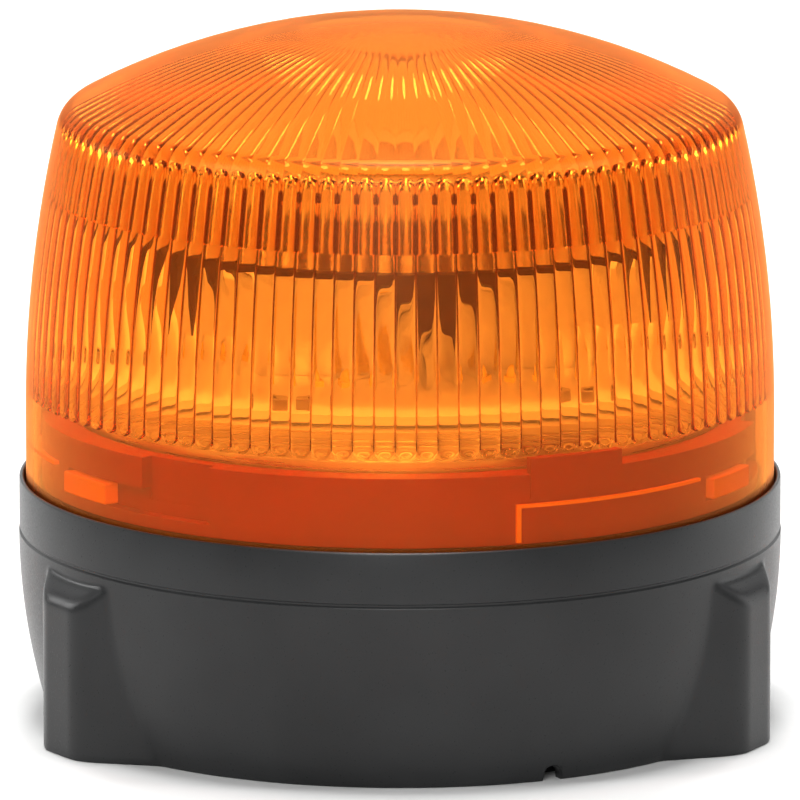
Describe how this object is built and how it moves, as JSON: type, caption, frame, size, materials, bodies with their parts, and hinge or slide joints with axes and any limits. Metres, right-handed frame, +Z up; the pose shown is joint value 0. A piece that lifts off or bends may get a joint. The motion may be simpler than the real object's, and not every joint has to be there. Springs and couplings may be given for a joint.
{
  "type": "barricade warning light",
  "caption": "Low amber warning beacon with a fluted twist-off dome lens on a round black base that bolts down through lugs with threaded inserts.",
  "frame": {"origin": "centre of the bolt circle on the mounting plane", "axes": "+Z up through the dome, front towards -Y, one lug straight behind on +Y"},
  "size_m": [0.145, 0.1485, 0.133],
  "materials": {
    "base_plastic": "fine moulded satin",
    "insert_brass": "machined",
    "seal_rubber": "matt",
    "cover_plastic": "moulded",
    "screw_steel": "zinc plated",
    "ring_plastic": "moulded, deep red",
    "grommet_rubber": "matt",
    "vent_plastic": "moulded",
    "green_board": "solder mask",
    "spacer_brass": "machined",
    "ferrite": "sintered",
    "copper_wire": "enamelled",
    "capacitor_sleeve": "sleeved",
    "chip_epoxy": "moulded",
    "terminal_plastic": "moulded",
    "selector_blue": "moulded",
    "selector_white": "moulded",
    "turned_aluminium": "turned",
    "pad_silicone": "matt",
    "white_board": "white solder mask",
    "led_phosphor": "clear dome",
    "screw_black": "black oxide",
    "reflector_metallised": "vacuum metallised",
    "cap_plastic": "moulded",
    "connector_plastic": "nylon",
    "lead_red_pvc": "extruded",
    "lead_black_pvc": "extruded",
    "amber_lens": "clear moulded, fluted inside"
  },
  "bodies": {
    "base": {"base_housing": "base_plastic", "threaded_inserts": "insert_brass", "mounting_gasket": "seal_rubber", "bottom_cover": "cover_plastic", "cover_seal": "seal_rubber", "cover_screws": "screw_steel", "bayonet_ring": "ring_plastic", "ring_screws": "screw_steel", "cable_grommet": "grommet_rubber", "vent_plug": "vent_plastic", "driver_board": "green_board", "board_spacers": "spacer_brass", "driver_screws": "screw_steel", "inductor_core": "ferrite", "inductor_winding": "copper_wire", "capacitors": "capacitor_sleeve", "power_transistors": "chip_epoxy", "controller_chip": "chip_epoxy", "terminal_block": "terminal_plastic", "terminal_screws": "screw_steel", "selector_body": "selector_blue", "heat_sink": "turned_aluminium", "heat_sink_screws": "screw_steel", "thermal_pad": "pad_silicone", "led_board": "white_board", "led_emitters": "led_phosphor", "board_screws": "screw_black", "reflector": "reflector_metallised", "reflector_cap": "cap_plastic", "reflector_screws": "screw_black", "lead_header": "connector_plastic", "lead_plug": "connector_plastic", "lamp_connector": "connector_plastic", "lead_red": "lead_red_pvc", "lead_black": "lead_black_pvc", "lens_seal": "seal_rubber"},
    "lens": {"lens_dome": "amber_lens"},
    "selector": {"selector_rotor": "selector_white"}
  },
  "joints": [
    {"name": "lens_twist", "type": "hinge", "parent": "base", "child": "lens", "pos_m": [0, 0, 0.045], "axis": [0, 0, 1], "range_deg": [0, 20]},
    {"name": "pattern_select", "type": "hinge", "parent": "base", "child": "selector", "pos_m": [0.024, -0.016, 0.0265], "axis": [0, 0, -1], "continuous": true}
  ]
}
